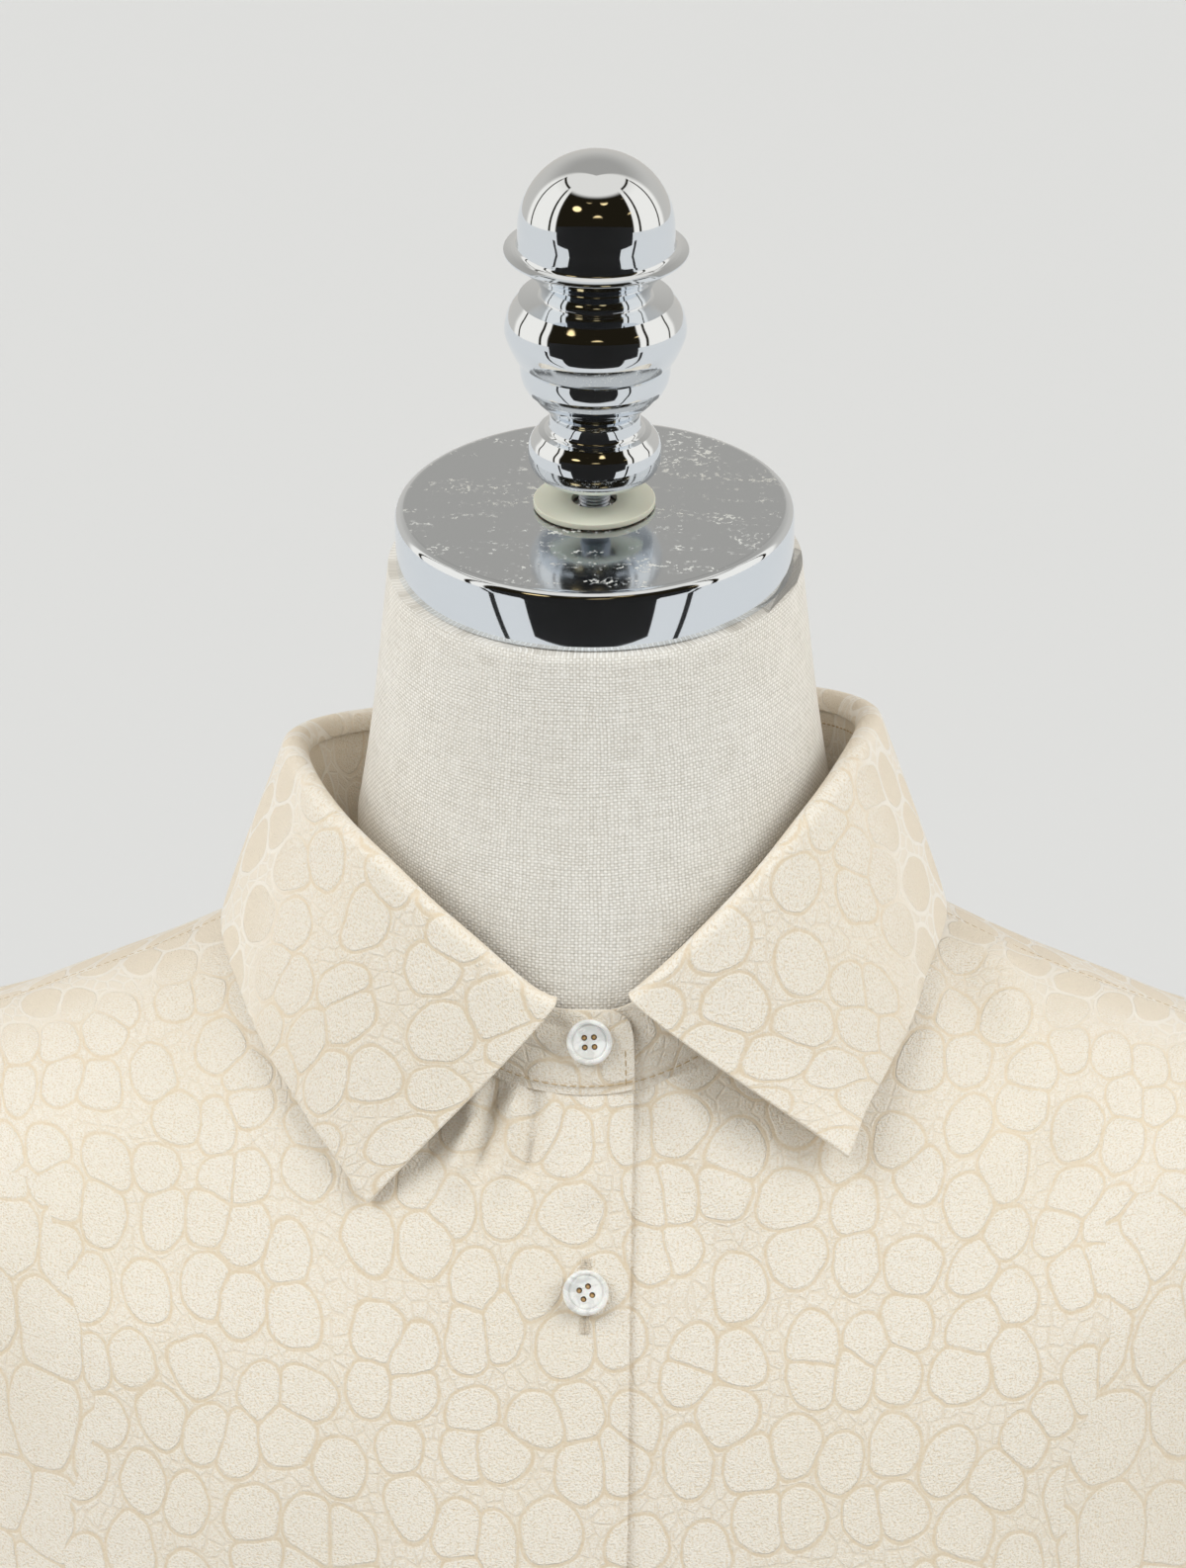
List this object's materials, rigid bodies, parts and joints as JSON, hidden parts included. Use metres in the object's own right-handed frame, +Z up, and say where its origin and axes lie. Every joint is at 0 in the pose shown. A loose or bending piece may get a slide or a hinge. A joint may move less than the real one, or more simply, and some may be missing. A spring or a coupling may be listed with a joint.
{
  "type": "blouse on dress form",
  "caption": "Long-sleeved button-front blouse with a pointed collar, in cream satin with a tonal scale pattern, worn by a limbless linen dress form on a chrome stand.",
  "frame": {"origin": "centre of the round base's underside, on the floor", "axes": "+Z up along the stand's pole, -Y the way the blouse's front faces, +X the wearer's left"},
  "size_m": [0.5268, 0.3, 1.1521],
  "materials": {
    "satin": "jacquard satin, soft sheen",
    "linen": "plain linen weave",
    "chrome": "polished",
    "zinc": "zinc plated thread",
    "nylon": "moulded, off-white",
    "pearl": "pearly"
  },
  "bodies": {
    "root": {"form_torso": "linen", "neck_cap": "chrome", "finial_washer": "nylon", "finial_stud": "zinc", "finial": "chrome", "base": "chrome", "pole": "chrome", "socket": "chrome", "front_right": "satin", "front_left": "satin", "yoke": "satin", "back": "satin", "collar_stand": "satin", "collar": "satin", "sleeve_left": "satin", "sleeve_right": "satin", "cuff_left": "satin", "cuff_right": "satin", "button_stand": "pearl", "button_cuff_left": "pearl", "button_cuff_right": "pearl", "button_front_1": "pearl", "button_front_2": "pearl", "button_front_3": "pearl", "button_front_4": "pearl", "button_front_5": "pearl", "button_front_6": "pearl", "button_front_7": "pearl"}
  },
  "joints": []
}
